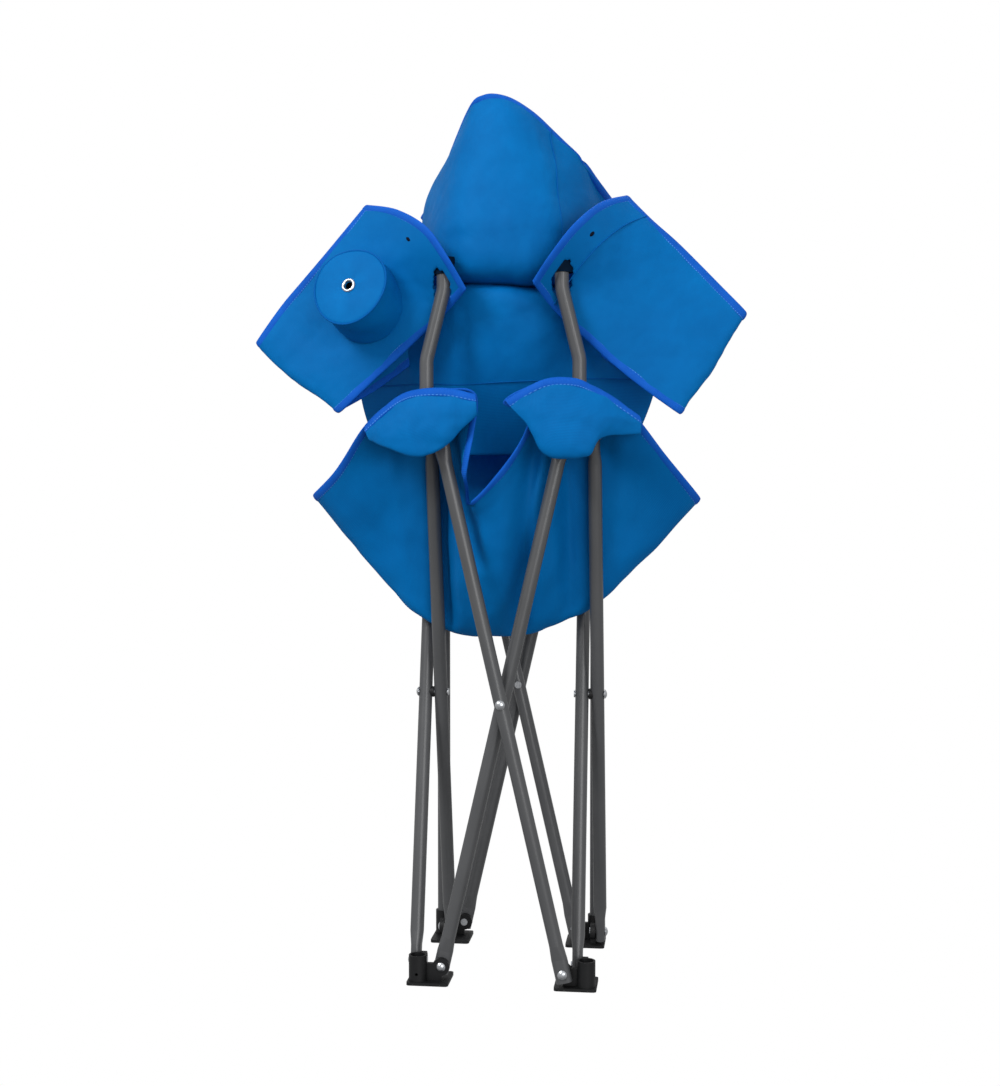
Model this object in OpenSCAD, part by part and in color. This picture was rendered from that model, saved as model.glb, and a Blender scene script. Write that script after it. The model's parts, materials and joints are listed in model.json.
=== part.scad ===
// Folding camp chair with a four-sided scissor frame, standing nearly folded.
// +Z up, +X to the sitter's left, -Y to the front. Origin: centre of the footprint on the ground.

/* [Scissor frame] */
// Distance between the end rivets of a leg
leg_span = 628; // [560:1:700]
// Angle of the legs from vertical as it stands
fold_angle = 13; // [10:0.5:20]
// Outside diameter of every leg
leg_d = 16; // [12:0.5:19]
// Wall of the steel tubes
tube_wall = 1.2; // [0.8:0.1:2]
// Gap between two crossing legs
leg_gap = 2.6; // [2.2:0.1:4]
// Height of the flattened leg ends, across the tube
end_flat = 12; // [9:0.5:14]
// Length of a leg past its end rivet
end_past = 10; // [8:0.5:11]
// Length of the flat below an end rivet
end_flat_l = 17; // [15:1:24]
// Length over which a round leg turns flat
end_taper = 16; // [10:1:30]

/* [Rivets] */
// Diameter of the rivet shanks
rivet_d = 6; // [4:0.5:7]
// Diameter of the domed rivet heads
rivet_head_d = 11; // [9:0.5:12]
// Height of the domed rivet heads
rivet_head_h = 3; // [2:0.5:3.5]
// Diameter of the plastic spacers between crossing legs
spacer_d = 13; // [10:0.5:16]
// Thickness of a spacer, saddle included
spacer_t = 5; // [3:0.5:7]

/* [Feet and brackets] */
// Height of the foot rivets above the ground
foot_rivet_z = 19; // [18:0.5:26]
// Height of a foot
foot_h = 33; // [28:1:45]
// Thickness of a foot's base flange
foot_base_h = 3.5; // [2.5:0.5:4]
// Radius of the rounded ear end around its rivet
ear_r = 10; // [8:0.5:11]
// Room between the turning end of a leg and the slider beside it
socket_room = 1.36; // [0.6:0.02:4]
// Room between the legs of two neighbouring sides, where they meet in a corner
corner_room = 6.7; // [6:0.1:12]
// Wall of the feet's sockets
socket_wall = 2.2; // [1.6:0.1:3]
// Wall of the sliders and of the sockets for the arm posts
slider_wall = 3.2; // [2:0.1:4]
// Radius of the front brackets' columns
column_r = 9; // [7:0.5:11]
// Distance of an arm post's axis from the rivets beside it
post_offset = 17; // [14:0.5:20]
// Length of the socket that holds an arm post
post_socket_h = 30; // [20:1:45]

/* [Uprights and arm posts] */
// Diameter of the uprights and the arm posts
post_d = 16; // [12:0.5:18]
// How far the uprights reach above the upper rivets
upright_up = 274.1; // [240:0.1:320]
// How far above the upper rivets an arm post starts to lean inwards
post_bend_up = 81.1; // [70:0.1:100]
// How far the top of an arm post is set inwards
post_set_in = 20; // [10:1:26]
// Lean of the middle stretch of an arm post
post_lean = 14; // [8:1:20]
// How far the arm posts reach above the upper rivets
post_up = 194.1; // [180:0.1:210]
// Centre radius of the bends in an arm post
bend_r = 40; // [30:1:60]
// Height of the dome of an end cap
cap_h = 3; // [2:0.5:6]

/* [Fabric] */
// Thickness of a double layer of fabric
cloth_t = 5; // [3:0.5:8]
// Width of an arm band
arm_w = 144; // [110:1:150]
// Length of a folded arm band, from its front end to its fold
arm_l = 198; // [170:1:230]
// Outside diameter of the cup holder
cup_d = 92; // [80:1:100]
// Depth of the cup holder
cup_depth = 62; // [45:1:75]
// Height of the middle of an arm's ends above the upper rivets
arm_up = 219.1; // [200:0.1:240]
// Reach of the seat's side tips past the sockets
seat_past = 128.9; // [100:0.1:150]
// Depth of the seat's lowest point below the upper rivets
seat_drop = 232.9; // [180:0.1:260]
// Height of the peak of the head part above the uprights
head_up = 135; // [90:1:150]

/* [Clearances] */
// Gap between a moving piece and its neighbour
gap = 0.3; // [0.2:0.05:0.5]
// Gap around a rivet shank or a fitted tube
fit_gap = 0.05; // [0.02:0.01:0.1]

/* [Hidden] */
$fn = 48;
pivot = leg_span * sin(fold_angle) / 2; // half the distance between the rivets of a side
rise = leg_span * cos(fold_angle); // height of the upper rivets above the foot rivets
upper_z = foot_rivet_z + rise;
cross_z = foot_rivet_z + rise / 2;
leg_r = leg_d / 2;
post_r = post_d / 2;
leg_offset = leg_r + leg_gap / 2; // from a scissor's middle plane to the axis of each leg
ear_t = 2 * leg_offset - end_flat - 2 * gap; // thickness of the ears between the leg ends
end_w = leg_d * 1.16; // width of a flattened end, in the plane of its scissor
end_sweep = sqrt(pow(end_past, 2) + pow(end_w / 2, 2)); // radius that a leg end sweeps
slider_r = post_r + gap + slider_wall;
plane_offset = leg_offset + leg_r + corner_room;
socket_offset = end_sweep + slider_r + socket_room;
plane = pivot + plane_offset; // distance of a scissor's middle plane from the centre
column = pivot + socket_offset; // distance of the sockets from the centre, both ways
post_xy = pivot + post_offset;
rivet_hole_r = rivet_d / 2 + fit_gap;
head_gap = 0.4; // from a leg's side to a rivet head that doesn't turn with it
bracket_low = upper_z - end_flat_l + 2;
bracket_plate_z = upper_z + end_sweep + 2;
slider_high = upper_z + 22;
upright_top = upper_z + upright_up;
post_bend_z = upper_z + post_bend_up;
post_top = upper_z + post_up;
seat_reach = column + seat_past;
seat_low = upper_z - seat_drop;
head_top = upright_top + head_up;
steel = "#55585a";
plastic = "#1d1e20";
zinc = "#b9bcc0";
cloth = "#0072bc";

// Side 0 is the front, 1 the right, 2 the rear and 3 the left, seen from the front.
module side(k) rotate([0, 0, 90 * k]) children();

// A stadium outline, its length along x.
module stadium(w, t)
  union() {
    square([w - t, t], center = true);
    for (s = [-1, 1]) translate([s * (w - t) / 2, 0]) circle(d = t);
  }

// The outer skin of a leg along z, or its bore when shrunk by a wall.
module leg_body(inset) {
  half = leg_span / 2;
  round_half = half - end_flat_l - end_taper;
  cylinder(r = leg_r - inset, h = 2 * round_half, center = true);
  if (inset == 0)
    for (s = [-1, 1]) {
      hull() {
        translate([0, 0, s * (round_half - 0.01)])
          cylinder(r = leg_r, h = 0.02, center = true, $fn = 32);
        translate([0, 0, s * (round_half + end_taper)])
          linear_extrude(0.02, center = true) stadium(end_w, end_flat, $fn = 32);
      }
      translate([0, 0, s * (half + (end_past - end_flat_l) / 2)])
        linear_extrude(end_past + end_flat_l, center = true) stadium(end_w, end_flat);
    }
}

// A leg standing on z, with its end rivet holes and the crossing hole along y.
module leg()
  color(steel)
    difference() {
      leg_body(0);
      leg_body(tube_wall);
      for (z = [-leg_span / 2, 0, leg_span / 2])
        translate([0, 0, z]) rotate([90, 0, 0])
          cylinder(r = rivet_hole_r, h = 3 * leg_d, center = true);
    }

module outer_leg(k)
  side(k) translate([0, -plane - leg_offset, cross_z]) rotate([0, -fold_angle, 0]) leg();

module inner_leg(k)
  side(k) translate([0, -plane + leg_offset, cross_z]) rotate([0, fold_angle, 0]) leg();

// A domed rivet head, its flat side on z = 0.
module rivet_head()
  rotate_extrude()
    intersection() {
      translate([0, rivet_head_h - head_ball]) circle(r = head_ball, $fn = 96);
      square([rivet_head_d / 2, rivet_head_h]);
    }
head_ball = (pow(rivet_head_d / 2, 2) + pow(rivet_head_h - 0.6, 2)) / (2 * (rivet_head_h - 0.6));

// A rivet along y from a to b, with a domed head on its low side and a flat one on the other.
module rivet(a, b)
  color(zinc)
    translate([0, a, 0]) rotate([-90, 0, 0]) {
      cylinder(d = rivet_d, h = b - a);
      mirror([0, 0, 1]) rivet_head();
      translate([0, 0, b - a]) cylinder(d = rivet_head_d * 0.8, h = 1.2);
    }

module crossing_rivet(k)
  side(k) translate([0, -plane, cross_z])
    rivet(-leg_offset - leg_r - head_gap, leg_offset + leg_r + head_gap);

// A round spacer between two crossing legs, with a saddle on the outer one, which it turns with.
module spacer(k)
  side(k) translate([0, -plane, cross_z])
    color(plastic)
      difference() {
        translate([0, leg_offset - leg_r - gap, 0]) rotate([90, 0, 0])
          cylinder(d = spacer_d, h = spacer_t);
        rotate([90, 0, 0]) cylinder(r = rivet_hole_r + gap, h = leg_d, center = true);
        translate([0, -leg_offset, 0]) rotate([0, -fold_angle, 0])
          cylinder(r = leg_r + gap, h = 4 * leg_d, center = true);
      }

// The ear of a side's left corner, from its rivet to the corner socket, drilled for the rivet.
module ear(z, low, high)
  translate([-pivot, -plane, 0])
    difference() {
      union() {
        translate([0, 0, z]) rotate([90, 0, 0]) cylinder(r = ear_r, h = ear_t, center = true);
        translate([-socket_offset / 2, 0, (low + high) / 2])
          cube([socket_offset, ear_t, high - low], center = true);
      }
      translate([0, 0, z]) rotate([90, 0, 0])
        cylinder(r = rivet_hole_r, h = 2 * ear_t, center = true);
    }

// The two ears of the front left corner, moved round to corner k.
module ears(z, low, high) {
  ear(z, low, high);
  mirror([1, -1, 0]) ear(z, low, high);
}

// The rivets of corner k. The leg of the side on its right is inside that ear, the other outside.
module corner_rivets(k, z, first_inside) {
  inside = leg_offset + end_flat / 2 + head_gap;
  near = ear_t / 2;
  a = first_inside ? [-near, inside] : [-inside, near];
  b = first_inside ? [-inside, near] : [-near, inside];
  side(k) {
    translate([-pivot, -plane, z]) rivet(a[0], a[1]);
    mirror([1, -1, 0]) translate([-pivot, -plane, z]) rivet(b[0], b[1]);
  }
}

// Corner 0 is the front left one, and the others follow round by the right.
module foot(k)
  color(plastic)
    side(k)
      difference() {
        union() {
          translate([-column, -column, 0]) cylinder(r = post_r + gap + socket_wall, h = foot_h);
          intersection() {
            ears(foot_rivet_z, 0, foot_rivet_z + 4);
            translate([-column - ear_r, -column - ear_r, 0])
              cube([3 * column, 3 * column, foot_h]);
          }
          translate([-column, -column, 0])
            linear_extrude(foot_base_h)
              offset(r = 4, $fn = 32) offset(delta = -4)
                translate([-12, -12]) square(socket_offset + ear_r + 12);
        }
        translate([-column, -column, foot_base_h])
          cylinder(r = post_r + gap, h = foot_h);
        translate([-column, -column, foot_base_h + 9]) rotate([90, 0, 0])
          cylinder(d = 3.5, h = 30);
      }

module front_bracket(k)
  color(plastic)
    side(k)
      difference() {
        union() {
          ears(upper_z, bracket_low, upper_z + 6);
          translate([-column, -column, bracket_low])
            cylinder(r = column_r, h = bracket_plate_z + 10 - bracket_low);
          translate([-post_xy, -post_xy, bracket_plate_z])
            cylinder(r = post_r + slider_wall, h = post_socket_h);
        }
        translate([-post_xy, -post_xy, bracket_plate_z + 4])
          cylinder(r = post_r + fit_gap, h = post_socket_h);
      }

module rear_slider(k)
  color(plastic)
    side(k)
      difference() {
        union() {
          ears(upper_z, bracket_low, upper_z + 6);
          translate([-column, -column, bracket_low])
            cylinder(r = slider_r, h = slider_high - bracket_low);
        }
        translate([-column, -column, bracket_low - 1])
          cylinder(r = post_r + gap, h = slider_high - bracket_low + 2);
      }

module tube(l, inset)
  cylinder(r = post_r - inset, h = l);

// The bends of an arm post: each turns it by the lean, the first inwards and the second back up.
bend_rise = bend_r * sin(post_lean);
bend_run = bend_r * (1 - cos(post_lean));
lean_h = (post_set_in - 2 * bend_run) / tan(post_lean);
post_low = bracket_plate_z + 4.2;
bend_steps = 6;
lower_bend = [for (i = [0:bend_steps]) let (a = post_lean * i / bend_steps)
  [bend_r * (1 - cos(a)), post_bend_z + bend_r * sin(a), a]];
upper_bend = [for (i = [bend_steps:-1:0]) let (a = post_lean * i / bend_steps)
  [post_set_in - bend_r * (1 - cos(a)),
   post_bend_z + 2 * bend_rise + lean_h - bend_r * sin(a), a]];
post_path = concat([[0, post_low, 0]], lower_bend, upper_bend, [[post_set_in, post_top, 0]]);
post_sides = 32;

// A round bar along a path of [x, z, lean] in the xz plane.
module bar(path, r) {
  rings = len(path);
  points = [for (p = path, i = [0:post_sides - 1]) let (t = 360 * i / post_sides)
    [p[0] + r * cos(t) * cos(p[2]), r * sin(t), p[1] - r * cos(t) * sin(p[2])]];
  walls = [for (k = [0:rings - 2], i = [0:post_sides - 1]) let (j = (i + 1) % post_sides)
    [k * post_sides + i, (k + 1) * post_sides + i, (k + 1) * post_sides + j, k * post_sides + j]];
  ends = [
    [for (i = [0:post_sides - 1]) i],
    [for (i = [post_sides - 1:-1:0]) (rings - 1) * post_sides + i]
  ];
  polyhedron(points, concat(walls, ends));
}

module arm_post(s)
  color(steel)
    scale([s, 1, 1]) translate([-post_xy, -post_xy, 0])
      difference() {
        bar(post_path, post_r);
        translate([0, 0, post_low - 1]) tube(post_bend_z - post_low, tube_wall);
        translate([post_set_in, 0, post_top - 12]) tube(20, tube_wall);
      }

module end_cap(z)
  color(plastic)
    translate([0, 0, z]) {
      translate([0, 0, -8]) cylinder(r = post_r - tube_wall - fit_gap, h = 8.1);
      rotate_extrude()
        intersection() {
          translate([0, cap_h - cap_ball]) circle(r = cap_ball, $fn = 96);
          translate([0, 0.1]) square([post_r, cap_h]);
        }
    }
cap_ball = (pow(post_r, 2) + pow(cap_h, 2)) / (2 * cap_h);

module post_cap(s)
  translate([s * -(post_xy - post_set_in), -post_xy, post_top]) end_cap(0);

module upright(s)
  color(steel)
    translate([s * -column, column, foot_base_h + 0.2])
      difference() {
        tube(upright_top - foot_base_h, 0);
        translate([0, 0, -1]) tube(upright_top, tube_wall);
      }

module upright_cap(s)
  translate([s * -column, column, upright_top + 0.2]) end_cap(0);

// The seat hangs as a pouch between the scissors, its side tips pushed out over the crossings.
module seat()
  color(cloth) {
    hull() {
      translate([0, 0, seat_low + 6]) sphere(6, $fn = 16);
      for (x = [-1, 1], y = [-1, 1])
        translate([x * (pivot - 12), y * (pivot - 14), upper_z - 30]) sphere(4, $fn = 16);
    }
    for (s = [-1, 1])
      hull() {
        translate([s * seat_reach, 0, upper_z - 69]) sphere(5, $fn = 16);
        for (y = [-12, 12]) translate([s * (pivot - 20), y, upper_z - 25]) sphere(5, $fn = 16);
        translate([s * 20, 0, seat_low + 22]) sphere(5, $fn = 16);
      }
  }

// The back is a padded panel between the uprights, wider below, with the head part over it.
module back()
  color(cloth) {
    hull()
      for (x = [-1, 1], y = [-10, column - post_r - 46])
        translate([x * (column - 42), y, upper_z + 69]) cylinder(r = 6, h = 150, $fn = 16);
    hull()
      for (x = [-1, 1]) {
        translate([x * (column + 78), 40, upper_z + 19]) sphere(8, $fn = 16);
        translate([x * (column + 78), column - post_r - 12, upper_z + 59]) sphere(6, $fn = 16);
        translate([x * (column - 17), 0, upper_z + 89]) sphere(8, $fn = 16);
        translate([x * (column - 7), 20, upper_z + 9]) sphere(8, $fn = 16);
      }
    hull() {
      for (x = [-1, 1]) {
        translate([x * (column - 33), -20, upper_z + arm_up - 20]) sphere(8, $fn = 16);
        translate([x * (column - 31), column - post_r - 30, upper_z + arm_up + 10])
          sphere(8, $fn = 16);
      }
      translate([-40, -26, head_top - 50]) sphere(8, $fn = 16);
      translate([10, -14, head_top - 8]) sphere(8, $fn = 16);
      translate([-10, column - 37, head_top - 70]) sphere(8, $fn = 16);
    }
  }

// An arm band is folded double: one half runs out from the arm post, the other returns to the
// upright. Each is placed by the middle of its two ends and the direction across it.
post_end = [-column - 0.9, 45.6 - post_xy, upper_z + arm_up];
upright_end = [-column - 0.9, column - 19.1, upper_z + arm_up];
post_half = [post_end, post_end + [-142, 6, -138], [0.667, -0.347, -0.66]];
upright_half = [upright_end, upright_end + [-142, -102, -138], [0.697, 0, -0.717]];
cup_along = 88; // from the front end of the band to the cup holder's axis
cup_across = 8; // from the middle of the band
cup_wall = 3;

// Turns and moves a plate from the xy plane onto a half of an arm band.
module on_half(half) {
  along = (half[1] - half[0]) / norm(half[1] - half[0]);
  facing = cross(along, half[2]) / norm(cross(along, half[2]));
  across = cross(facing, along);
  translate(half[0])
    rotate([atan2(across[2], facing[2]), -asin(along[2]), atan2(along[1], along[0])]) children();
}

module band(hole)
  translate([0, 0, -cloth_t / 2])
    linear_extrude(cloth_t)
      difference() {
        translate([0, -arm_w / 2]) square([arm_l, arm_w]);
        if (hole) translate([cup_along, cup_across]) circle(d = cup_d - 2 * cloth_t);
      }

module arm(s, hole)
  color(cloth)
    scale([s, 1, 1]) {
      on_half(post_half) band(hole);
      on_half(upright_half) band(false);
    }

// The cup holder hangs under the arm, so in this fold its base faces forwards.
module on_cup()
  on_half(post_half) translate([cup_along, cup_across, cloth_t / 2 + gap]) children();

module cup_holder()
  color(cloth)
    on_cup()
      difference() {
        cylinder(d = cup_d, h = cup_depth);
        translate([0, 0, -1]) cylinder(d = cup_d - 2 * cup_wall, h = cup_depth + 1 - cup_wall);
        cylinder(d = eyelet_hole, h = 2 * cup_depth);
      }

eyelet_hole = 9;
eyelet_wire = 4;

module cup_eyelet()
  color(zinc)
    on_cup() translate([0, 0, cup_depth + eyelet_wire / 2 + 0.1])
      rotate_extrude() translate([(eyelet_hole + eyelet_wire) / 2, 0]) circle(d = eyelet_wire);

module seat_flap(s)
  color(cloth)
    hull()
      for (p = [[-70, 37], [-7, 37], [53, -13], [-7, -25], [-57, -19]])
        translate([-s * (column + p[0]), -plane - leg_offset - leg_r - 10, upper_z + p[1]])
          rotate([90, 0, 0]) cylinder(r = 4, h = cloth_t, $fn = 24);

foot(0);  // foot_front_left
foot(1);  // foot_front_right
foot(2);  // foot_rear_right
foot(3);  // foot_rear_left
corner_rivets(0, foot_rivet_z, true);  // foot_rivets_front_left
corner_rivets(1, foot_rivet_z, true);  // foot_rivets_front_right
corner_rivets(2, foot_rivet_z, true);  // foot_rivets_rear_right
corner_rivets(3, foot_rivet_z, true);  // foot_rivets_rear_left
outer_leg(0);  // front_outer_leg
inner_leg(0);  // front_inner_leg
outer_leg(1);  // right_outer_leg
inner_leg(1);  // right_inner_leg
outer_leg(2);  // rear_outer_leg
inner_leg(2);  // rear_inner_leg
outer_leg(3);  // left_outer_leg
inner_leg(3);  // left_inner_leg
crossing_rivet(0);  // front_crossing_rivet
crossing_rivet(1);  // right_crossing_rivet
crossing_rivet(2);  // rear_crossing_rivet
crossing_rivet(3);  // left_crossing_rivet
spacer(0);  // front_spacer
spacer(1);  // right_spacer
spacer(2);  // rear_spacer
spacer(3);  // left_spacer
front_bracket(0);  // bracket_front_left
front_bracket(1);  // bracket_front_right
rear_slider(2);  // slider_rear_right
rear_slider(3);  // slider_rear_left
corner_rivets(0, upper_z, false);  // bracket_rivets_front_left
corner_rivets(1, upper_z, false);  // bracket_rivets_front_right
corner_rivets(2, upper_z, false);  // slider_rivets_rear_right
corner_rivets(3, upper_z, false);  // slider_rivets_rear_left
arm_post(1);  // arm_post_left
arm_post(-1);  // arm_post_right
upright(1);  // upright_left
upright(-1);  // upright_right
post_cap(1);  // post_cap_left
post_cap(-1);  // post_cap_right
upright_cap(1);  // upright_cap_left
upright_cap(-1);  // upright_cap_right
seat();
back();
arm(1, true);  // arm_left
arm(-1, false);  // arm_right
cup_holder();
cup_eyelet();
seat_flap(1);  // seat_flap_left
seat_flap(-1);  // seat_flap_right
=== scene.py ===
import bpy
import bmesh
import json
import math
from mathutils import Matrix, Vector, noise

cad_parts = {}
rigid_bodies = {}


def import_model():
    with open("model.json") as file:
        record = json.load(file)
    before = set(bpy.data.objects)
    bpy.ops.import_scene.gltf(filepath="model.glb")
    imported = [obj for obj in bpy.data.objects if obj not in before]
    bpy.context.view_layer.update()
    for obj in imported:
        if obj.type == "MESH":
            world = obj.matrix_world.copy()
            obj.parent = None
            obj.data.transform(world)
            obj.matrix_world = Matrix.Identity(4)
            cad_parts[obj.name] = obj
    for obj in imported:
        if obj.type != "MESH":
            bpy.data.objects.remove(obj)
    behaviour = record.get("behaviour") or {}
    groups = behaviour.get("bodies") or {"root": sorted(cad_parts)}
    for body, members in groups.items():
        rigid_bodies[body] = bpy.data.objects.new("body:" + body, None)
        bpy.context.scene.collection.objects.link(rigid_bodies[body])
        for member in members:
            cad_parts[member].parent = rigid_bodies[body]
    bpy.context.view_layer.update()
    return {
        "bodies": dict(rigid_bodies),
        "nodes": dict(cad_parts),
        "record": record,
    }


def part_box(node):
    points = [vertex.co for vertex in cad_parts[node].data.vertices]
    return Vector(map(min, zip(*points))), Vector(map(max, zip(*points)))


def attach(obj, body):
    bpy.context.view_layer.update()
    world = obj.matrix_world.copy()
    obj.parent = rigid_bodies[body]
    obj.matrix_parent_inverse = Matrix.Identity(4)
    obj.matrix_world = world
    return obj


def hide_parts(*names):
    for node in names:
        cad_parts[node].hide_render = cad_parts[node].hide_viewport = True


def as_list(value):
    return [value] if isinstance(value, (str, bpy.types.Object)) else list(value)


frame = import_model()
print("frame loaded")


def mm(*values):
    return Vector([v / 1000 for v in values])


def linearColour(hexCode):
    parts = [int(hexCode[i:i + 2], 16) / 255 for i in (1, 3, 5)]
    return tuple(p / 12.92 if p <= 0.04045 else ((p + 0.055) / 1.055) ** 2.4 for p in parts) + (1,)


# camera: low and level, a little to the right of the chair's front
cameraSet = {"azimuth": 6.5, "distance": 1.835, "height": 0.562, "fov": 39.06, "aimX": -0.0135, "aimZ": 0.505}


def addCamera(c):
    data = bpy.data.cameras.new("camera")
    data.sensor_fit = "VERTICAL"
    data.angle = math.radians(c["fov"])
    camera = bpy.data.objects.new("camera", data)
    a = math.radians(c["azimuth"])
    camera.location = (math.sin(a) * c["distance"], -math.cos(a) * c["distance"], c["height"])
    aim = Vector((c["aimX"], 0, c["aimZ"])) - camera.location
    camera.rotation_euler = aim.to_track_quat("-Z", "Y").to_euler()
    bpy.context.scene.collection.objects.link(camera)
    bpy.context.scene.camera = camera


addCamera(cameraSet)


# materials

def addNode(tree, kind, settings=None, links=None):
    node = tree.nodes.new(kind)
    for key, value in (settings or {}).items():
        if hasattr(node, key):
            setattr(node, key, value)
        else:
            node.inputs[key].default_value = value
    for key, source in (links or {}).items():
        tree.links.new(source, node.inputs[key])
    return node


def newMaterial(name, colour, roughness, metallic=0.0, specular=0.5):
    material = bpy.data.materials.new(name)
    material.use_nodes = True
    shader = material.node_tree.nodes["Principled BSDF"]
    shader.inputs["Base Color"].default_value = linearColour(colour)
    shader.inputs["Roughness"].default_value = roughness
    shader.inputs["Metallic"].default_value = metallic
    shader.inputs["Specular IOR Level"].default_value = specular
    return material, material.node_tree, shader


def mixColours(tree, factor, low, high):
    mix = addNode(tree, "ShaderNodeMix", {"data_type": "RGBA"})
    mix.inputs[6].default_value = linearColour(low)
    mix.inputs[7].default_value = linearColour(high)
    tree.links.new(factor, mix.inputs[0])
    return mix.outputs[2]


def powderCoat():
    # dark grey powder coat on drawn tube: a fine orange peel that breaks up the highlight
    material, tree, shader = newMaterial("powderCoatedSteel", "#454648", 0.36)
    place = addNode(tree, "ShaderNodeTexCoord").outputs["Object"]
    peel = addNode(tree, "ShaderNodeTexNoise", {"Scale": 700.0, "Detail": 3.0}, {"Vector": place})
    wear = addNode(tree, "ShaderNodeTexNoise", {"Scale": 14.0, "Detail": 5.0}, {"Vector": place})
    tree.links.new(mixColours(tree, wear.outputs["Fac"], "#3f4042", "#505153"), shader.inputs["Base Color"])
    rough = addNode(tree, "ShaderNodeMapRange", {"To Min": 0.28, "To Max": 0.46}, {"Value": wear.outputs["Fac"]})
    tree.links.new(rough.outputs["Result"], shader.inputs["Roughness"])
    bump = addNode(tree, "ShaderNodeBump", {"Strength": 0.12, "Distance": 0.0004}, {"Height": peel.outputs["Fac"]})
    tree.links.new(bump.outputs["Normal"], shader.inputs["Normal"])
    shader.inputs["Coat Weight"].default_value = 0.15
    shader.inputs["Coat Roughness"].default_value = 0.2
    return material


def mouldedNylon():
    # black injection-moulded nylon: a matt spark-eroded grain, paler where it scuffs
    material, tree, shader = newMaterial("mouldedNylon", "#17181a", 0.5, specular=0.3)
    place = addNode(tree, "ShaderNodeTexCoord").outputs["Object"]
    grain = addNode(tree, "ShaderNodeTexNoise", {"Scale": 900.0, "Detail": 2.0}, {"Vector": place})
    scuff = addNode(tree, "ShaderNodeTexNoise", {"Scale": 60.0, "Detail": 6.0}, {"Vector": place})
    tree.links.new(mixColours(tree, scuff.outputs["Fac"], "#0b0b0c", "#17181a"), shader.inputs["Base Color"])
    bump = addNode(tree, "ShaderNodeBump", {"Strength": 0.25, "Distance": 0.0005}, {"Height": grain.outputs["Fac"]})
    tree.links.new(bump.outputs["Normal"], shader.inputs["Normal"])
    return material


def zincPlate():
    # zinc-plated steel, formed cold: bright, with a faint mottle
    material, tree, shader = newMaterial("zincPlatedSteel", "#c3c6ca", 0.25, 1.0)
    place = addNode(tree, "ShaderNodeTexCoord").outputs["Object"]
    mottle = addNode(tree, "ShaderNodeTexNoise", {"Scale": 400.0, "Detail": 4.0}, {"Vector": place})
    tree.links.new(mixColours(tree, mottle.outputs["Fac"], "#a9adb2", "#d9dbde"), shader.inputs["Base Color"])
    rough = addNode(tree, "ShaderNodeMapRange", {"To Min": 0.18, "To Max": 0.38}, {"Value": mottle.outputs["Fac"]})
    tree.links.new(rough.outputs["Result"], shader.inputs["Roughness"])
    return material


def oxfordCloth(name, low, high, threadMm=1.1):
    # solution-dyed polyester oxford: a plain weave of flat yarns; the real yarns are about 0.5 mm,
    # drawn at 1.1 mm so that they show
    material, tree, shader = newMaterial(name, high, 0.62, specular=0.06)
    uv = addNode(tree, "ShaderNodeUVMap", {"uv_map": "cloth"}).outputs["UV"]
    bands = 2 * math.pi / 20 / (threadMm / 1000)
    waves = []
    for direction in ("X", "Y"):
        settings = {"wave_type": "BANDS", "bands_direction": direction, "Scale": bands, "Distortion": 0.3}
        waves.append(addNode(tree, "ShaderNodeTexWave", settings, {"Vector": uv}).outputs["Fac"])
    weave = addNode(tree, "ShaderNodeMath", {"operation": "MAXIMUM"})
    tree.links.new(waves[0], weave.inputs[0])
    tree.links.new(waves[1], weave.inputs[1])
    slub = addNode(tree, "ShaderNodeTexNoise", {"Scale": 9.0, "Detail": 6.0, "Roughness": 0.6}, {"Vector": uv})
    crease = addNode(tree, "ShaderNodeTexNoise", {"Scale": 22.0, "Detail": 4.0, "Distortion": 0.8}, {"Vector": uv})
    tone = addNode(tree, "ShaderNodeMath", {"operation": "MULTIPLY"})
    tree.links.new(weave.outputs[0], tone.inputs[0])
    tree.links.new(slub.outputs["Fac"], tone.inputs[1])
    tree.links.new(mixColours(tree, tone.outputs[0], low, high), shader.inputs["Base Color"])
    threadBump = addNode(tree, "ShaderNodeBump", {"Strength": 0.2, "Distance": 0.0004}, {"Height": weave.outputs[0]})
    creaseBump = addNode(tree, "ShaderNodeBump", {"Strength": 0.16, "Distance": 0.005},
                         {"Height": crease.outputs["Fac"], "Normal": threadBump.outputs["Normal"]})
    tree.links.new(creaseBump.outputs["Normal"], shader.inputs["Normal"])
    return material


tapeSet = {"width": 0.011, "around": 12, "along": 110}


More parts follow.
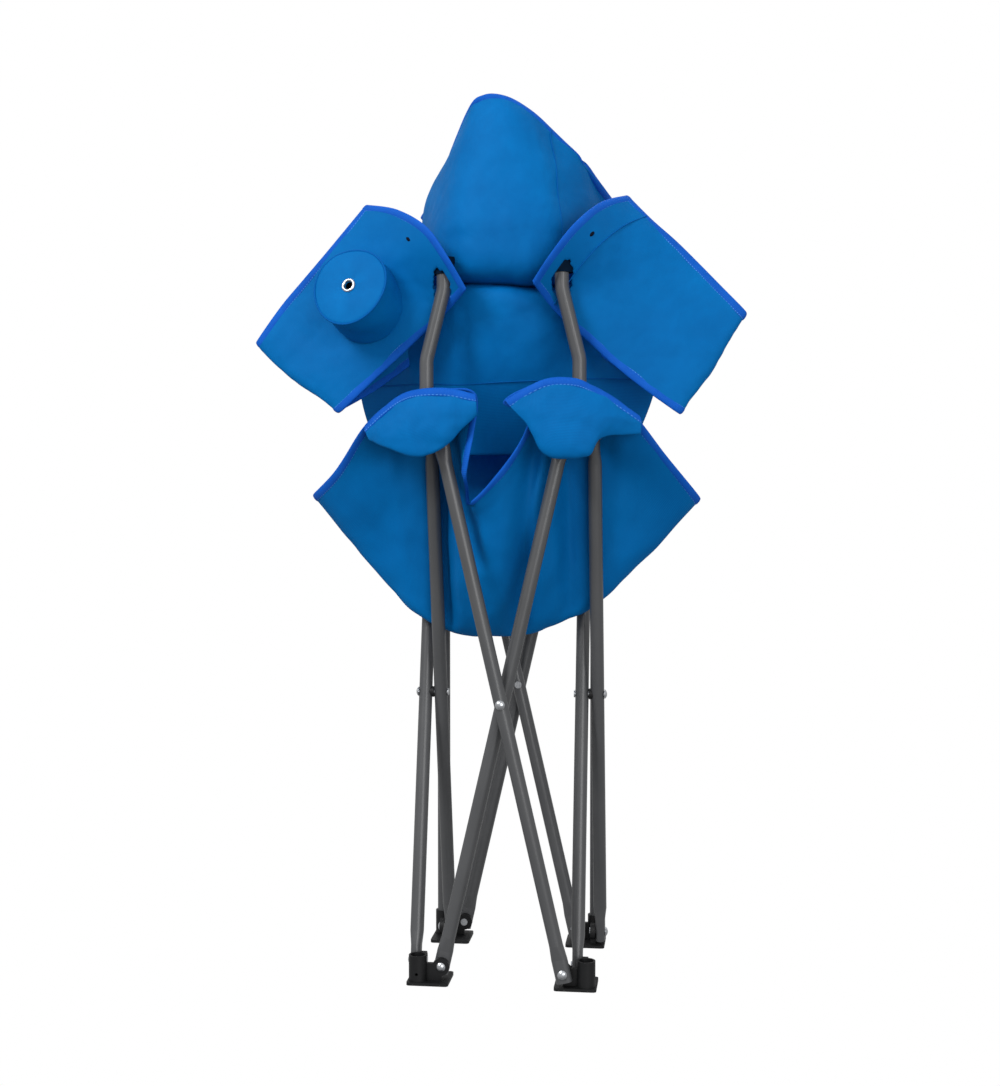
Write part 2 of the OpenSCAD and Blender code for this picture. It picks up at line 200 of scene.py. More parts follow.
def bindingTape():
    # woven grosgrain binding: ribs across the tape and a line of stitches along each inner border
    material, tree, shader = newMaterial("grosgrainBinding", "#0d56b8", 0.6, specular=0.08)
    uv = addNode(tree, "ShaderNodeUVMap", {"uv_map": "cloth"}).outputs["UV"]
    ribs = addNode(tree, "ShaderNodeTexWave", {"bands_direction": "Y", "Scale": 2 * math.pi / 20 / 0.0016},
                   {"Vector": uv})
    slub = addNode(tree, "ShaderNodeTexNoise", {"Scale": 40.0, "Detail": 4.0}, {"Vector": uv})
    split = addNode(tree, "ShaderNodeSeparateXYZ", links={"Vector": uv})
    folded = addNode(tree, "ShaderNodeMath", {"operation": "PINGPONG"})
    tree.links.new(split.outputs["X"], folded.inputs[0])
    folded.inputs[1].default_value = tapeSet["width"]
    border = addNode(tree, "ShaderNodeMath", {"operation": "COMPARE"})
    tree.links.new(folded.outputs[0], border.inputs[0])
    border.inputs[1].default_value = 0.0024
    border.inputs[2].default_value = 0.0005
    dashes = addNode(tree, "ShaderNodeTexWave", {"bands_direction": "Y", "Scale": 2 * math.pi / 20 / 0.004},
                     {"Vector": uv})
    stitch = addNode(tree, "ShaderNodeMath", {"operation": "MULTIPLY"})
    tree.links.new(border.outputs[0], stitch.inputs[0])
    tree.links.new(dashes.outputs["Fac"], stitch.inputs[1])
    blend = addNode(tree, "ShaderNodeMix", {"data_type": "RGBA"})
    blend.inputs[7].default_value = linearColour("#4b8fe0")
    tree.links.new(stitch.outputs[0], blend.inputs[0])
    tree.links.new(mixColours(tree, slub.outputs["Fac"], "#074aa8", "#1262c8"), blend.inputs[6])
    tree.links.new(blend.outputs[2], shader.inputs["Base Color"])
    bump = addNode(tree, "ShaderNodeBump", {"Strength": 0.4, "Distance": 0.0006}, {"Height": ribs.outputs["Fac"]})
    raised = addNode(tree, "ShaderNodeBump", {"Strength": 0.6, "Distance": 0.0008},
                     {"Height": stitch.outputs[0], "Normal": bump.outputs["Normal"]})
    tree.links.new(raised.outputs["Normal"], shader.inputs["Normal"])
    return material


steel = powderCoat()
nylon = mouldedNylon()
zinc = zincPlate()
cloth = oxfordCloth("polyesterOxford", "#00508f", "#0080cc")
tape = bindingTape()
thread = newMaterial("bondedThread", "#00559c", 0.7, specular=0.06)[0]
# near-black cloth: painted shade for the dark gap round each arm post where it goes into the arm
postGapShadeCloth = newMaterial("postGapPaintedShade", "#04182c", 0.8, specular=0.06)[0]
# dark stitching, also used as painted shade for the open slit of the buttonhole
darkStitchAndHoleShade = newMaterial("darkStitchAndHoleShade", "#0a1020", 0.8, specular=0.06)[0]
slotMaterial = {"painted_steel": steel, "moulded_plastic": nylon, "zinc_rivets": zinc}
for part in frame["record"]["subparts"]:
    node = frame["nodes"][part["node"]]
    if part["material_slot"] in slotMaterial:
        node.data.materials.clear()
        node.data.materials.append(slotMaterial[part["material_slot"]])
print("materials ready")


# how far the frame travels from this fold to fully open: corners move out, brackets come down
travel = {"legSpan": 0.628, "restAngle": 13, "openAngle": 55}
restTurn, openTurn = (math.radians(travel[key]) for key in ("restAngle", "openAngle"))
cornerOut = travel["legSpan"] * (math.sin(openTurn) - math.sin(restTurn)) / 2
bracketDown = travel["legSpan"] * (math.cos(restTurn) - math.cos(openTurn))
followed = {"x": "foot_front_right", "y": "foot_rear_left", "z": "bracket_front_left"}


def followFrame(piece, openPoints):
    # the cloth opens out with the frame: each point takes its share of the corners' travel
    shares = {key: [] for key in followed}
    for vertex, target in zip(piece.data.vertices, openPoints):
        step = target - vertex.co
        shares["x"].append((step.x + cornerOut) / (2 * cornerOut))
        shares["y"].append((step.y + cornerOut) / (2 * cornerOut))
        shares["z"].append(-step.z / bracketDown)
    for key, values in shares.items():
        for layer in range(2):
            part = [min(1, max(0, value - layer)) for value in values]
            if max(part) <= 0:
                continue
            group = piece.vertex_groups.new(name=f"{key}{layer}")
            for index, value in enumerate(part):
                if value > 0:
                    group.add([index], value, "REPLACE")
            hook = piece.modifiers.new(f"hook_{key}{layer}", "HOOK")
            hook.object = frame["bodies"][followed[key]]
            hook.vertex_group = group.name
            hook.falloff_type = "NONE"
    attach(piece, "foot_front_left")


def spline(points, t):
    # a smooth curve through the points, t from 0 to 1
    last = len(points) - 1
    k = min(int(t * last), last - 1)
    f = t * last - k
    a, b, c, d = (points[min(max(i, 0), last)] for i in (k - 1, k, k + 1, k + 2))
    return 0.5 * (2 * b + (c - a) * f + (2 * a - 5 * b + 4 * c - d) * f * f + (3 * b - a - 3 * c + d) * f ** 3)


def net(rows):
    # rows of points in mm, from edge to edge; the surface runs through all of them
    rows = [[mm(*point) for point in row] for row in rows]
    return lambda u, v: spline([spline(row, u) for row in rows], v)


def patch(name, restAt, openAt, across, along, size, material, thickness=0.0, closed=False, weld=False,
          crumple=0.0, holes=(), body=None):
    # a grid of cloth laid on restAt(u, v); openAt says where each point goes when the chair is open
    mesh = bpy.data.meshes.new(name)
    bm = bmesh.new()
    bmesh.ops.create_grid(bm, x_segments=across, y_segments=along, size=1)
    layer = bm.loops.layers.uv.new("cloth")
    where = [((vertex.co.x + 1) / 2, (vertex.co.y + 1) / 2) for vertex in bm.verts]
    for face in bm.faces:
        for loop in face.loops:
            u, v = where[loop.vert.index]
            loop[layer].uv = (u * size[0], v * size[1])
    for vertex in bm.verts:
        vertex.co = restAt(*where[vertex.index])
    bm.normal_update()
    if crumple:
        moved = []
        for vertex in bm.verts:
            u, v = where[vertex.index]
            fade = min(1, 8 * min(u, 1 - u, v, 1 - v))  # flat under the binding
            moved.append(vertex.co + vertex.normal * crumple * fade * noise.fractal(vertex.co * 22, 0.9, 2.2, 3))
        for vertex, co in zip(bm.verts, moved):
            vertex.co = co
    key = bm.verts.layers.float_vector.new("open")
    for vertex in bm.verts:
        vertex[key] = openAt(*where[vertex.index])
    cut = [f for f in bm.faces if any(hole(f.calc_center_median()) for hole in holes)]
    bmesh.ops.delete(bm, geom=cut, context="FACES")
    if closed or weld:
        bmesh.ops.remove_doubles(bm, verts=bm.verts[:], dist=0.00002)
    if closed:
        bmesh.ops.holes_fill(bm, edges=[e for e in bm.edges if e.is_boundary], sides=0)
        bmesh.ops.recalc_face_normals(bm, faces=bm.faces[:])
    openPoints = [Vector(vertex[key]) for vertex in bm.verts]
    bm.verts.layers.float_vector.remove(key)
    bm.to_mesh(mesh)
    bm.free()
    mesh.polygons.foreach_set("use_smooth", [True] * len(mesh.polygons))
    piece = bpy.data.objects.new(name, mesh)
    bpy.context.scene.collection.objects.link(piece)
    mesh.materials.append(material)
    if body:
        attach(piece, body)
    else:
        followFrame(piece, openPoints)
    if thickness:
        wall = piece.modifiers.new("wall", "SOLIDIFY")
        wall.thickness = thickness
        wall.offset = 0
    soft = piece.modifiers.new("soft", "SUBSURF")
    soft.levels = soft.render_levels = 1
    return piece


def bindEdge(name, restAt, openAt, edgeAt, innerAt, length, thickness=0.0044, body=None):
    # folded tape over an edge: edgeAt(s) and innerAt(s) give the (u, v) of the edge and just inside it
    def rolled(surface):
        def point(u, v):
            edge, inner = surface(*edgeAt(v)), surface(*innerAt(v))
            ahead = surface(*edgeAt(min(1, v + 0.01))) - surface(*edgeAt(max(0, v - 0.01)))
            inward = (inner - edge).normalized()
            face = ahead.cross(inward).normalized()
            turn = 2 * math.pi * u
            half = tapeSet["width"] / 2
            return edge + inward * (half * 0.75 + half * math.cos(turn)) + face * (thickness / 2 * math.sin(turn))
        return point
    return patch(name, rolled(restAt), rolled(openAt), tapeSet["around"], tapeSet["along"],
                 (tapeSet["width"] * 2, length), tape, closed=True, body=body)


seamSet = {"radius": 0.0008, "around": 6, "along": 80}


def sewSeam(name, restAt, openAt, pathAt, length, lift, radius=None, material=None):
    # a line of stitching that stands a little proud of the cloth along pathAt(s)
    radius = radius or seamSet["radius"]

    def cordOn(surface):
        def point(u, v):
            s, t = pathAt(v)
            here = surface(s, t)
            ahead = surface(*pathAt(min(1, v + 0.01))) - surface(*pathAt(max(0, v - 0.01)))
            out = (surface(min(1, s + 0.01), t) - surface(max(0, s - 0.01), t)).cross(
                surface(s, min(1, t + 0.01)) - surface(s, max(0, t - 0.01))).normalized()
            side = out.cross(ahead).normalized()
            turn = 2 * math.pi * u
            return here + out * (lift + radius * math.sin(turn)) + side * (radius * math.cos(turn))
        return point
    return patch(name, cordOn(restAt), cordOn(openAt), seamSet["around"], seamSet["along"], (0.005, length),
                 material or thread, closed=True)


def line(start, end):
    return lambda s: (start[0] + (end[0] - start[0]) * s, start[1] + (end[1] - start[1]) * s)


# seat: a square panel hung by its corners; its side edges fold outwards and its front edge dips in a V
seatRows = [
    [(-92, -120, 680), (-58, -124, 681), (-26, -122, 674), (-31, -120, 622), (-40, -122, 553),
     (2, -120, 590), (34, -117, 648), (6, -126, 666), (50, -128, 688), (84, -124, 690)],
    [(-123, -117, 667), (-87, -90, 664), (-52, -96, 666), (-46, -104, 616), (-48, -112, 542),
     (4, -108, 572), (44, -100, 640), (48, -96, 668), (75, -88, 676), (113, -118, 679)],
    [(-157, -103, 640), (-120, -62, 610), (-79, -66, 580), (-60, -80, 540), (-43, -86, 498),
     (1, -86, 508), (46, -78, 545), (71, -66, 590), (104, -60, 612), (147, -104, 655)],
    [(-202, -58, 590), (-157, -32, 535), (-107, -34, 480), (-61, -46, 448), (-29, -50, 436),
     (7, -50, 438), (44, -44, 452), (87, -34, 486), (139, -32, 535), (184, -62, 608)],
    [(-240, -6, 562), (-183, 0, 492), (-125, 0, 428), (-77, 0, 401), (-37, 0, 393),
     (5, 0, 395), (49, 0, 406), (95, 0, 428), (155, 0, 482), (224, -6, 558)],
    [(-209, 56, 592), (-160, 30, 536), (-111, 34, 484), (-65, 42, 456), (-31, 40, 450),
     (3, 40, 452), (37, 42, 458), (83, 34, 488), (136, 30, 536), (175, 58, 606)],
    [(-162, 80, 630), (-122, 54, 600), (-84, 58, 570), (-55, 64, 530), (-24, 58, 505),
     (8, 58, 508), (39, 64, 540), (68, 58, 580), (102, 54, 606), (140, 80, 640)],
    [(-135, 84, 650), (-99, 66, 640), (-69, 70, 632), (-43, 76, 612), (-15, 66, 590),
     (9, 66, 592), (35, 76, 614), (59, 70, 634), (87, 66, 642), (121, 84, 655)],
    [(-110, 78, 655), (-84, 76, 662), (-56, 78, 660), (-34, 84, 652), (-6, 76, 644),
     (16, 76, 646), (40, 84, 654), (60, 78, 660), (86, 76, 662), (114, 78, 655)],
]
seatOpen = {"half": 0.268, "height": 0.4, "sag": 0.05}
seatNet = net(seatRows)
legShade = {"clear": 0.0135, "top": 0.606, "valley": 0.02, "valleyWidth": 0.014, "fan": 0.0035, "fanSize": 0.11}


frontLegs = [(body, reach) + tuple(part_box(body)) for body, reach in (
    ("left_outer_leg", 0.014), ("left_inner_leg", 0.014), ("right_outer_leg", 0.014),
    ("right_inner_leg", 0.014), ("front_outer_leg", 0.01), ("front_inner_leg", 0.01))]


def seatLegs(z):
    # the legs that reach up to the front corners: (x, y, how far to either side the cloth is held back)
    places = []
    for body, reach, low, high in frontLegs:
        along = (z - low.z) / (high.z - low.z)
        if body.startswith("front"):
            for way in (-1, 1):
                places.append((way * (2 * along - 1) * (high.x - 0.009), (low.y + high.y) / 2, reach))
        else:
            places.append(((low.x + high.x) / 2, (0.5 - along) * 2 * (high.y - 0.009), reach))
    return places


def seatRest(u, v):
    point = seatNet(u, v).copy()
    if v > 0.5 or point.z > 0.64:
        return point
    ease = min(1, max(0, (0.5 - v) / 0.06)) * min(1, max(0, (0.64 - point.z) / 0.03))
    # a deep fold right of the front dip, and small folds fanning out from the two front corners
    offset = point.x - (0.037 - (0.643 - point.z) * 0.107)
    point.y += ease * legShade["valley"] * math.exp(-(offset / legShade["valleyWidth"]) ** 2)
    for side in (-1, 1):
        across, down = point.x - side * 0.075, 0.65 - point.z
        far = math.hypot(across, down)
        turn = math.atan2(across * side, down)
        point.y += ease * legShade["fan"] * math.sin(8 * turn + 1.4 * side) * math.exp(-(far / legShade["fanSize"] - 1) ** 2)
    # the cloth stays behind the four front legs
    for x, y, reach in seatLegs(point.z):
        beside = abs(point.x - x)
        share = min(1, max(0, 1 - (beside - reach) / reach))
        point.y += max(0, y + legShade["clear"] - point.y) * share * ease
    return point


def seatOpened(u, v):
    x, y = 2 * u - 1, 2 * v - 1
    return Vector((x * seatOpen["half"], y * seatOpen["half"],
                   seatOpen["height"] - seatOpen["sag"] * (1 - x * x) * (1 - y * y)))


seat = patch("seatPanel", seatRest, seatOpened, 90, 72, (0.53, 0.53), cloth, 0.0025, crumple=0.003)
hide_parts("seat")
seatParts = [
    bindEdge("seatBindingFront", seatRest, seatOpened, lambda s: (s, 0), lambda s: (s, 0.03), 0.53),
    bindEdge("seatBindingLeft", seatRest, seatOpened, lambda s: (0, s), lambda s: (0.03, s), 0.53),
    bindEdge("seatBindingRight", seatRest, seatOpened, lambda s: (1, s), lambda s: (0.97, s), 0.53),
    bindEdge("seatBindingRear", seatRest, seatOpened, lambda s: (s, 1), lambda s: (s, 0.97), 0.53),
    sewSeam("seatSeamLeft", seatRest, seatOpened, line((0.03, 0.44), (0.34, 0.44)), 0.17, 0.0022),
    sewSeam("seatSeamRight", seatRest, seatOpened, line((0.66, 0.44), (0.97, 0.44)), 0.17, 0.0022),
]
print("seat made")


# front corner flaps: the pockets that the brackets sit in, sewn into the seat's edge and open below
flapRows = {
    "left": [
        [(-154, -106, 641), (-136, -114, 657), (-114, -121, 673), (-92, -125, 680), (-58, -129, 681), (-26, -126, 674)],
        [(-154, -110, 634), (-130, -128, 640), (-106, -136, 646), (-88, -138, 650), (-56, -136, 654), (-24, -130, 664)],
        [(-150, -112, 626), (-125, -130, 617), (-98, -135, 608), (-76, -135, 611), (-56, -133, 622), (-24, -127, 653)],
        [(-150, -108, 628), (-124, -120, 619), (-98, -122, 611), (-76, -122, 614), (-57, -120, 625), (-26, -120, 655)],
    ],
    "right": [
        [(8, -130, 667), (50, -132, 689), (84, -128, 691), (106, -122, 682), (128, -116, 669), (156, -104, 650)],
        [(18, -132, 656), (50, -138, 652), (82, -140, 650), (108, -136, 648), (130, -126, 648), (158, -106, 641)],
        [(32, -131, 645), (50, -134, 613), (72, -136, 607), (100, -134, 610), (116, -128, 627), (158, -106, 632)],
        [(34, -122, 648), (52, -121, 617), (72, -121, 610), (100, -121, 613), (114, -118, 630), (156, -102, 634)],
    ],
}


def makeFlap(side, rows):
    surface = net(rows)
    piece = patch("seatFlap" + side.capitalize(), surface, surface, 48, 36, (0.15, 0.1), cloth, 0.0022,
                  crumple=0.003, body="bracket_front_" + side)
    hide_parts("seat_flap_" + side)
    binding = bindEdge("seatFlapBinding" + side.capitalize(), surface, surface, lambda s: (s, 0), lambda s: (s, 0.1),
                       0.16, 0.005, "bracket_front_" + side)
    return piece, [binding]


flaps = {side: makeFlap(side, rows) for side, rows in flapRows.items()}
print("flaps made")


# back: a padded panel between the uprights, buckled where the head part folds forwards
backRows = [
    [(-173, 60, 614), (-141, 40, 612), (-103, 22, 610), (-59, 10, 610), (-13, 4, 610), (32, 10, 610), (73, 22, 610),
     (109, 40, 612), (139, 60, 614)],
    [(-195, 57, 700), (-139, 20, 700), (-98, -8, 700), (-53, -28, 698), (-9, -36, 700), (35, -28, 702), (76, -8, 705),
     (115, 20, 706), (171, 57, 706)],
    [(-160, 64, 755), (-121, 20, 757), (-86, -26, 760), (-47, -50, 762), (-6, -58, 764), (35, -50, 763), (70, -26, 760),
     (95, 20, 757), (131, 64, 755)],
    [(-126, 78, 798), (-109, 24, 800), (-77, -28, 801), (-45, -50, 802), (-6, -58, 800), (31, -50, 797), (61, -28, 798),
     (81, 24, 800), (115, 78, 798)],
    [(-122, 86, 826), (-106, 30, 818), (-75, 0, 815), (-49, 4, 812), (-13, 4, 808), (21, 4, 807), (47, 2, 810),
     (72, 30, 818), (107, 86, 826)],
    [(-122, 88, 842), (-105, 20, 835), (-78, -42, 824), (-45, -68, 818), (-5, -72, 816), (31, -68, 814), (59, -50, 820),
     (79, 0, 834), (107, 86, 842)],
    [(-121, 88, 868), (-106, 30, 868), (-87, -32, 864), (-48, -76, 864), (-3, -84, 862), (36, -78, 864), (64, -58, 866),
     (88, 0, 868), (107, 88, 866)],
    [(-120, 88, 890), (-112, 52, 908), (-82, -20, 906), (-49, -66, 908), (-4, -76, 910), (35, -70, 908), (59, -52, 906),
     (92, 0, 900), (107, 86, 882)],
    [(-119, 88, 900), (-105, 60, 938), (-70, -24, 950), (-42, -60, 955), (-3, -68, 958), (32, -62, 952), (56, -44, 942),
     (90, 0, 930), (108, 84, 894)],
    [(-119, 87, 906), (-93, 56, 952), (-55, -28, 988), (-31, -52, 1000), (-2, -60, 1000), (25, -52, 992), (49, -36, 976),
     (86, -4, 950), (110, 84, 902)],
    [(-124, 86, 910), (-92, 54, 950), (-43, -34, 1014), (-26, -45, 1026), (-1, -46, 1023), (26, -40, 1008),
     (51, -28, 987), (92, 0, 948), (119, 78, 922)],
]
backOpen = {"half": 0.268, "plane": 0.272, "low": 0.4, "belly": 0.03}
backRest = net(backRows)


def backOpened(u, v):
    x = 2 * u - 1
    height = backOpen["low"] * (1 - v) + backRest(u, v).z * v
    return Vector((x * backOpen["half"], backOpen["plane"] - backOpen["belly"] * (1 - x * x), height))


back = patch("backPanel", backRest, backOpened, 96, 110, (0.53, 0.66), cloth, 0.006, crumple=0.0016)
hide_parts("back")
backParts = [
    bindEdge("backBindingTop", backRest, backOpened, lambda s: (s, 1), lambda s: (s, 0.975), 0.6, 0.0085),
    sewSeam("backSeamLow", backRest, backOpened, line((0.03, 0.095), (0.97, 0.095)), 0.5, 0.0036),
    sewSeam("backSeamHead", backRest, backOpened, line((0.745, 0.54), (0.745, 0.97)), 0.3, 0.0036),
]
print("back made")


# sleeves: the back's on the uprights, the arms' over the ends of the arm posts
def sleeve(name, centreAt, openShift, low, openLow, top, radius, length, material=cloth):
    def tubeAt(bottom, shift):
        def point(u, v):
            turn = 2 * math.pi * u
            z = bottom + (top - bottom) * v
            r = radius * (1 + 0.05 * math.sin(9 * v + 3 * turn))
            return centreAt(low + (top - low) * v) + shift + Vector((r * math.cos(turn), r * math.sin(turn), z))
        return point
    return patch(name, tubeAt(low, Vector()), tubeAt(openLow, openShift), 24, 30, (radius * 2 * math.pi, length),
                 material, 0.0014, weld=True)


sleeveSet = {"radius": 0.0125, "low": 0.66, "openLow": 0.4, "top": 0.9}
for side, sign in (("left", -1), ("right", 1)):
    low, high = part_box("upright_" + side)
    middle = (low + high) / 2
    middle.z = 0
    backParts.append(sleeve("backSleeve" + side.capitalize(), lambda z: middle, Vector((sign * cornerOut, cornerOut, 0)),
                            sleeveSet["low"], sleeveSet["openLow"], sleeveSet["top"], sleeveSet["radius"], 0.255))
print("sleeves made")


# arms: a band from each arm post, folded back on itself to the upright
armRows = {
    "left": [
        [(-169, -32, 905), (-126, -68, 892), (-85, -104, 865), (-59, -113, 829), (-40, -102, 795)],
        [(-195, -30, 876), (-154, -56, 862), (-116, -82, 832), (-90, -80, 802), (-71, -72, 770)],
        [(-221, -28, 847), (-181, -46, 832), (-146, -62, 806), (-119, -68, 778), (-97, -67, 748)],
        [(-248, -27, 817), (-212, -38, 800), (-177, -50, 772), (-152, -58, 746), (-128, -62, 721)],
        [(-273, -28, 788), (-243, -36, 766), (-211, -46, 738), (-183, -54, 715), (-158, -59, 695)],
        [(-301, -28, 750), (-279, -34, 727), (-250, -42, 704), (-219, -50, 683), (-193, -56, 663)],
        [(-302, -18, 750), (-280, -22, 727), (-251, -28, 704), (-222, -36, 684), (-197, -44, 664)],
        [(-274, 2, 782), (-246, 0, 758), (-217, -6, 732), (-191, -12, 706), (-166, -18, 686)],
        [(-236, 22, 820), (-206, 20, 794), (-178, 16, 766), (-151, 10, 740), (-129, 4, 716)],
        [(-192, 48, 858), (-164, 48, 832), (-136, 46, 806), (-112, 42, 780), (-90, 38, 754)],
        [(-146, 72, 893), (-122, 78, 873), (-98, 80, 850), (-75, 80, 826), (-54, 78, 805)],
    ],
    "right": [
        [(139, -32, 909), (111, -68, 895), (83, -104, 865), (56, -113, 829), (36, -102, 802)],
        [(167, -30, 881), (138, -56, 864), (108, -82, 835), (81, -80, 804), (59, -72, 773)],
        [(195, -28, 856), (165, -46, 837), (134, -62, 808), (109, -68, 778), (86, -67, 749)],
        [(222, -27, 829), (196, -38, 809), (167, -50, 780), (142, -58, 748), (118, -62, 719)],
        [(247, -28, 803), (223, -36, 779), (199, -46, 750), (175, -54, 719), (153, -60, 690)],
        [(274, -28, 775), (255, -34, 748), (236, -42, 718), (216, -50, 689), (196, -56, 659)],
        [(271, -18, 776), (254, -22, 748), (236, -28, 718), (215, -36, 689), (196, -44, 661)],
        [(250, 2, 804), (226, 0, 782), (199, -6, 753), (175, -12, 721), (156, -18, 692)],
        [(218, 22, 838), (190, 20, 812), (162, 16, 780), (139, 10, 748), (119, 4, 720)],
        [(182, 48, 868), (154, 48, 842), (126, 46, 812), (102, 42, 782), (82, 38, 754)],
        [(146, 72, 893), (122, 78, 873), (98, 80, 850), (75, 80, 826), (54, 78, 805)],
    ],
}
armOpen = {"middle": 0.267, "halfWidth": 0.066, "reach": 0.271, "front": 0.6, "rear": 0.63}
postSet = {"footX": 0.0876, "y": -0.0876, "topX": 0.0676, "bendLow": 0.712, "bendHigh": 0.802, "slit": 0.012,
           "sleeve": 0.0115, "sleeveLow": 0.814, "sleeveTop": 0.834, "sleeveBack": 0.003}
buttonSet = {"u": 0.45, "v": 0.055, "half": 0.005, "width": 0.0026, "thick": 0.0026}


def postAt(sign, z):
    share = min(1, max(0, (z - postSet["bendLow"]) / (postSet["bendHigh"] - postSet["bendLow"])))
    return Vector((sign * (postSet["footX"] + (postSet["topX"] - postSet["footX"]) * share), postSet["y"], 0))


def makeArm(side, rows):
    sign = -1 if side == "left" else 1
    restAt = net(rows)

    def openAt(u, v):
        x = sign * (armOpen["middle"] + armOpen["halfWidth"] * (1 - 2 * u))
        sag = 0.012 * (1 - (2 * v - 1) ** 2)
        return Vector((x, (2 * v - 1) * armOpen["reach"], armOpen["front"] + (armOpen["rear"] - armOpen["front"]) * v - sag))

    def slit(point):
        away = point - postAt(sign, point.z)
        return math.hypot(away.x, away.y) < postSet["slit"] and point.z < 0.84

    def ovalAt(surface):
        middle = surface(buttonSet["u"], buttonSet["v"])
        across = (surface(buttonSet["u"] + 0.02, buttonSet["v"]) - middle).normalized()
        out = across.cross(surface(buttonSet["u"], buttonSet["v"] + 0.01) - middle).normalized()
        ahead = out.cross(across)

        def point(u, v):
            turn, climb = 2 * math.pi * u, math.pi * v
            r = math.sin(climb)
            return (middle + across * (buttonSet["half"] * r * math.cos(turn))
                    + ahead * (buttonSet["width"] * r * math.sin(turn)) + out * (buttonSet["thick"] * math.cos(climb)))
        return point

    name = "arm" + side.capitalize()
    band = patch(name + "Band", restAt, openAt, 48, 130, (0.14, 0.47), cloth, 0.003, crumple=0.002,
                 holes=[slit])
    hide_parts("arm_" + side)
    parts = [
        bindEdge(name + "BindingOuter", restAt, openAt, lambda s: (0, s), lambda s: (0.06, s), 0.47),
        bindEdge(name + "BindingInner", restAt, openAt, lambda s: (1, s), lambda s: (0.94, s), 0.47),
        bindEdge(name + "BindingFront", restAt, openAt, lambda s: (s, 0), lambda s: (s, 0.03), 0.16),
        sewSeam(name + "SeamFront", restAt, openAt, line((0.03, 0.085), (0.97, 0.085)), 0.14, 0.0022),
        # the buttonhole is a solid dark oval: dark stitching round its edge, painted shade where its slit opens
        patch(name + "Buttonhole", ovalAt(restAt), ovalAt(openAt), 20, 12, (0.03, 0.01), darkStitchAndHoleShade, weld=True),
        # the pocket over the post end is drawn in near-black cloth, as painted shade for the dark gap round the post
        sleeve(name + "PostSleeve", lambda z: postAt(sign, z) + Vector((0, postSet["sleeveBack"], 0)),
               Vector((sign * cornerOut, -cornerOut, -bracketDown)), postSet["sleeveLow"], postSet["sleeveLow"],
               postSet["sleeveTop"], postSet["sleeve"], 0.044, postGapShadeCloth),
    ]
    return band, parts


arms = {side: makeArm(side, rows) for side, rows in armRows.items()}
print("arms made")


# cup holder: a round pocket sewn under the left arm, its base facing forwards in this fold
cupSet = {"radius": 0.0445, "depth": 0.06, "centre": mm(-159, -46, 783), "facing": Vector((-0.25, -0.92, 0.29)),
          "openCentre": mm(-267, -110, 597), "wallShare": 0.6, "eyelet": 0.0067, "eyeletWire": 0.002}


def cupPoint(matrix, centre):
    def point(u, v):
        # v runs up the wall, round the seam and in to the middle of the base
        turn = 2 * math.pi * u
        r, d = cupSet["radius"], cupSet["depth"]
        if v < cupSet["wallShare"]:
            radius, height = r * (1 + 0.02 * math.sin(3 * turn + 8 * v)), d * v / cupSet["wallShare"]
        else:
            t = (v - cupSet["wallShare"]) / (1 - cupSet["wallShare"])
            radius = r * (1 + 0.02 * math.sin(3 * turn + 4.8) * (1 - t)) * (1 - t) + 0.0045 * t
            height = d + 0.003 * math.sin(math.pi * t * 0.9)
        return centre + matrix @ Vector((radius * math.cos(turn), radius * math.sin(turn), height))
    return point


def cupRing(matrix, centre, radius, height, thick):
    def point(u, v):
        turn, roll = 2 * math.pi * v, 2 * math.pi * u
        wave = 1 + 0.02 * math.sin(3 * turn + 4.8) if radius > cupSet["radius"] else 1
        r = radius * wave + thick * math.cos(roll)
        return centre + matrix @ Vector((r * math.cos(turn), r * math.sin(turn), height + thick * math.sin(roll)))
    return point


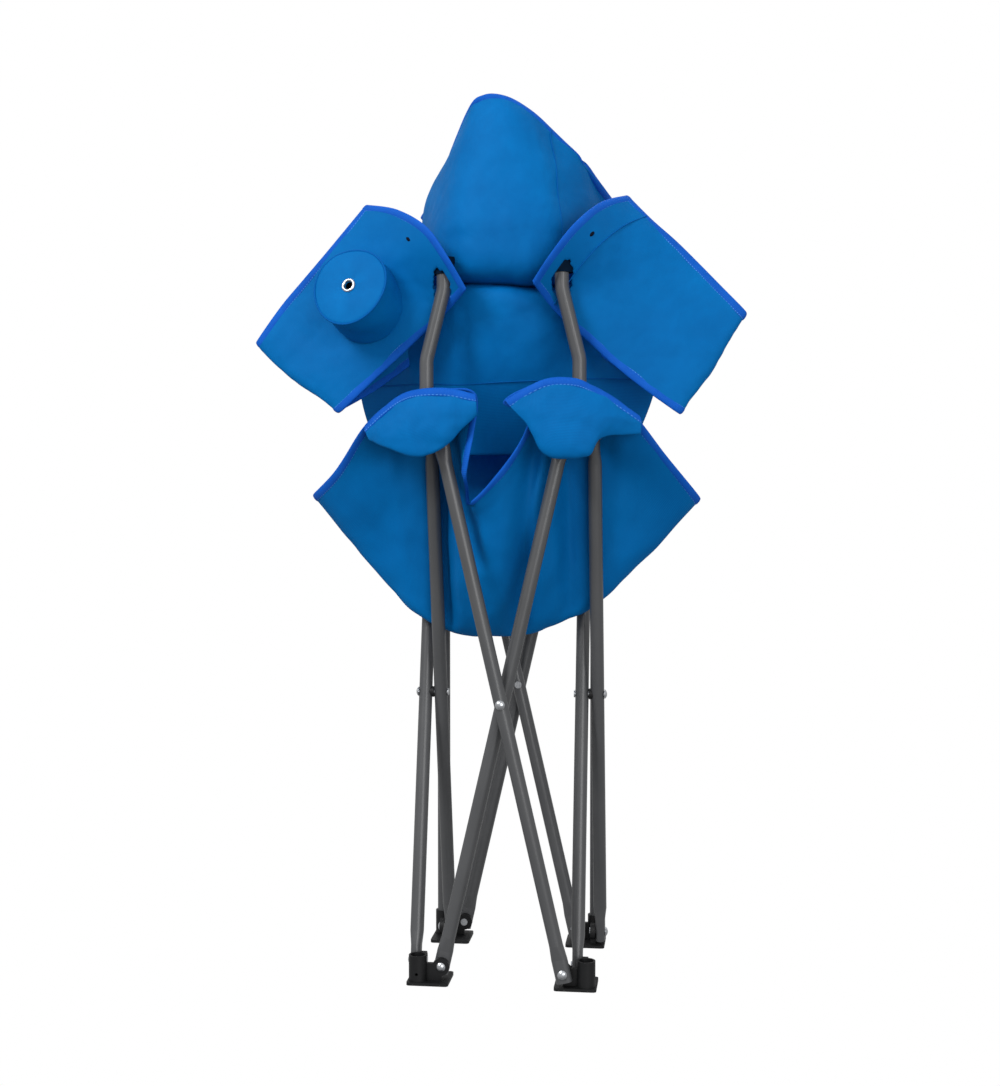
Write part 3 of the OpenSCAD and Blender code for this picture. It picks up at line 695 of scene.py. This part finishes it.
def makeCup():
    restFacing = cupSet["facing"].to_track_quat("Z", "X").to_matrix()
    openFacing = Vector((0, 0, -1)).to_track_quat("Z", "X").to_matrix()
    places = ((restFacing, cupSet["centre"]), (openFacing, cupSet["openCentre"]))
    pocket = patch("cupHolderPocket", *[cupPoint(*place) for place in places], 64, 40, (0.28, 0.1), cloth, 0.002,
                   weld=True, crumple=0.0012)
    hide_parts("cup_holder")
    rings = {"cupHolderPiping": (cupSet["radius"] + 0.0008, cupSet["depth"], 0.0014, thread),
             "cupHolderEyelet": (cupSet["eyelet"], cupSet["depth"] + 0.003, cupSet["eyeletWire"], zinc)}
    parts = []
    for name, (radius, height, thick, material) in rings.items():
        parts.append(patch(name, *[cupRing(*place, radius, height, thick) for place in places], 10, 72,
                           (0.01, 0.28), material, closed=True))
    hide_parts("cup_eyelet")
    return pocket, parts


cup, cupParts = makeCup()
print("cup holder made")


# the flap, arm and cup holder parts are each put through as_list; the results are not kept
for side in ("left", "right"):
    flap, flapParts = flaps[side]
    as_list(flapParts)
    band, bandParts = arms[side]
    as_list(bandParts)
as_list(cupParts)


# lights: a plain white surround, softer from below, and three soft boxes
lampSet = {"key": ((-1.5, -2.0, 2.4), 54, 0.9), "fill": ((1.3, -2.6, 0.9), 31, 1.6), "top": ((0.2, 1.2, 2.8), 14, 1.6)}
surround = {"seen": 1.0, "above": 0.68, "below": 0.22}


def addLights():
    world = bpy.data.worlds.new("studio")
    bpy.context.scene.world = world
    world.use_nodes = True
    tree = world.node_tree
    direction = addNode(tree, "ShaderNodeTexCoord").outputs["Generated"]
    split = addNode(tree, "ShaderNodeSeparateXYZ", links={"Vector": direction})
    height = addNode(tree, "ShaderNodeMapRange", {"From Min": -1.0, "From Max": 0.5, "To Min": surround["below"],
                                                  "To Max": surround["above"]}, {"Value": split.outputs["Z"]})
    lit = addNode(tree, "ShaderNodeBackground", {"Color": (1, 1, 1, 1)}, {"Strength": height.outputs["Result"]})
    seen = addNode(tree, "ShaderNodeBackground", {"Color": (1, 1, 1, 1), "Strength": surround["seen"]})
    ray = addNode(tree, "ShaderNodeLightPath")
    mix = addNode(tree, "ShaderNodeMixShader", links={"Fac": ray.outputs["Is Camera Ray"]})
    tree.links.new(lit.outputs[0], mix.inputs[1])
    tree.links.new(seen.outputs[0], mix.inputs[2])
    tree.links.new(mix.outputs[0], tree.nodes["World Output"].inputs["Surface"])
    for name, (place, power, size) in lampSet.items():
        data = bpy.data.lights.new(name, "AREA")
        data.energy = power
        data.size = size
        lamp = bpy.data.objects.new(name, data)
        lamp.location = place
        lamp.rotation_euler = (Vector((0, 0, 0.5)) - lamp.location).to_track_quat("-Z", "Y").to_euler()
        bpy.context.scene.collection.objects.link(lamp)


addLights()
bpy.context.scene.view_settings.view_transform = "Standard"
print("scene made")
